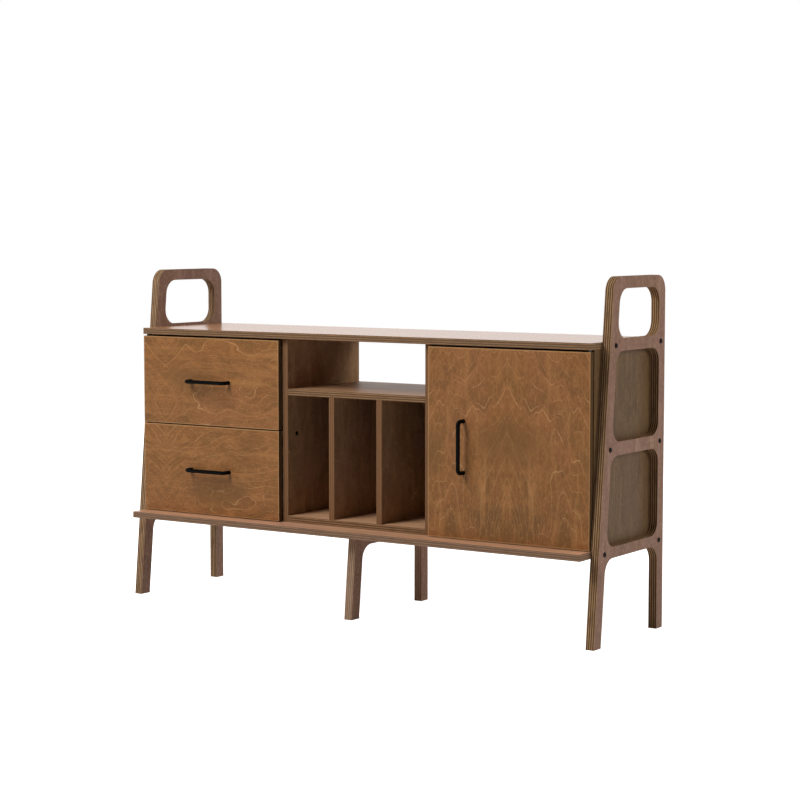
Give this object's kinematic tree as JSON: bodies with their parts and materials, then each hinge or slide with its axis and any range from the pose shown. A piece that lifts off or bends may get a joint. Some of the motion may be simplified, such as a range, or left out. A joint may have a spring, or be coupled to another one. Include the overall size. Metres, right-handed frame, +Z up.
{
  "type": "credenza",
  "caption": "Low plywood sideboard on tapered looped side frames, with drawers, record slots under an open niche, and a hinged cupboard door.",
  "frame": {"origin": "on the floor, under the middle of the bounding box", "axes": "+X along the front to the viewer's right, +Y from front to back, +Z up"},
  "size_m": [1.528, 0.422, 0.949],
  "materials": {
    "stained_front_ply": "satin walnut stain",
    "stained_frame_ply": "satin walnut stain",
    "stained_carcass_ply": "satin walnut stain",
    "thin_back_ply": "matt stain",
    "birch_ply": "clear lacquer",
    "beech_dowel": "plain",
    "black_steel": "matt black",
    "zinc_steel": "zinc plated",
    "nylon": "moulded"
  },
  "bodies": {
    "carcass": {"left_side_frame": "stained_frame_ply", "right_side_frame": "stained_frame_ply", "middle_leg_frame": "stained_frame_ply", "frame_to_board_bolts": "black_steel", "frame_to_panel_bolts": "black_steel", "barrel_nuts": "zinc_steel", "threaded_inserts": "zinc_steel", "middle_leg_screws": "zinc_steel", "top_board": "stained_carcass_ply", "bottom_board": "stained_carcass_ply", "left_side_panel": "stained_carcass_ply", "right_side_panel": "stained_carcass_ply", "left_partition": "stained_carcass_ply", "right_partition": "stained_carcass_ply", "niche_shelf": "stained_carcass_ply", "record_bay_floor": "stained_carcass_ply", "left_record_divider": "stained_carcass_ply", "right_record_divider": "stained_carcass_ply", "drawer_bay_divider": "stained_carcass_ply", "drawer_divider_screws": "black_steel", "carcass_dowels": "beech_dowel", "door_bay_shelf": "stained_carcass_ply", "shelf_pins": "zinc_steel", "drawer_bay_back": "thin_back_ply", "record_bay_back": "thin_back_ply", "door_bay_back": "thin_back_ply", "board_hinge_leaves": "zinc_steel", "pivot_pins": "zinc_steel", "pivot_washers": "nylon", "magnetic_catch": "nylon", "upper_drawer_cabinet_slides": "zinc_steel", "lower_drawer_cabinet_slides": "zinc_steel"},
    "upper_drawer": {"upper_drawer_front": "stained_front_ply", "upper_drawer_inner_front": "birch_ply", "upper_drawer_left_side": "birch_ply", "upper_drawer_right_side": "birch_ply", "upper_drawer_back": "birch_ply", "upper_drawer_bottom": "birch_ply", "upper_drawer_handle": "black_steel", "upper_drawer_handle_screws": "zinc_steel", "upper_drawer_front_screws": "zinc_steel", "upper_drawer_inner_slides": "zinc_steel"},
    "upper_drawer_slides": {"upper_drawer_middle_slides": "zinc_steel"},
    "lower_drawer": {"lower_drawer_front": "stained_front_ply", "lower_drawer_inner_front": "birch_ply", "lower_drawer_left_side": "birch_ply", "lower_drawer_right_side": "birch_ply", "lower_drawer_back": "birch_ply", "lower_drawer_bottom": "birch_ply", "lower_drawer_handle": "black_steel", "lower_drawer_handle_screws": "zinc_steel", "lower_drawer_front_screws": "zinc_steel", "lower_drawer_inner_slides": "zinc_steel"},
    "lower_drawer_slides": {"lower_drawer_middle_slides": "zinc_steel"},
    "door": {"door_panel": "stained_front_ply", "door_handle": "black_steel", "door_handle_screws": "zinc_steel", "door_hinge_leaves": "zinc_steel", "catch_strike": "zinc_steel"}
  },
  "joints": [
    {"name": "upper_drawer_pull", "type": "slide", "parent": "carcass", "child": "upper_drawer", "axis": [0, -1, 0], "range_m": [0, 0.28]},
    {"name": "upper_slide_travel", "type": "slide", "parent": "carcass", "child": "upper_drawer_slides", "axis": [0, -1, 0], "range_m": [0, 0.14]},
    {"name": "lower_drawer_pull", "type": "slide", "parent": "carcass", "child": "lower_drawer", "axis": [0, -1, 0], "range_m": [0, 0.28]},
    {"name": "lower_slide_travel", "type": "slide", "parent": "carcass", "child": "lower_drawer_slides", "axis": [0, -1, 0], "range_m": [0, 0.14]},
    {"name": "door_swing", "type": "hinge", "parent": "carcass", "child": "door", "pos_m": [0.7315, -0.152, 0.505], "axis": [0, 0, 1], "range_deg": [0, 110]}
  ],
  "couplings": [
    {"joint": "upper_slide_travel", "follows": "upper_drawer_pull", "ratio": 0.5},
    {"joint": "lower_slide_travel", "follows": "lower_drawer_pull", "ratio": 0.5}
  ]
}
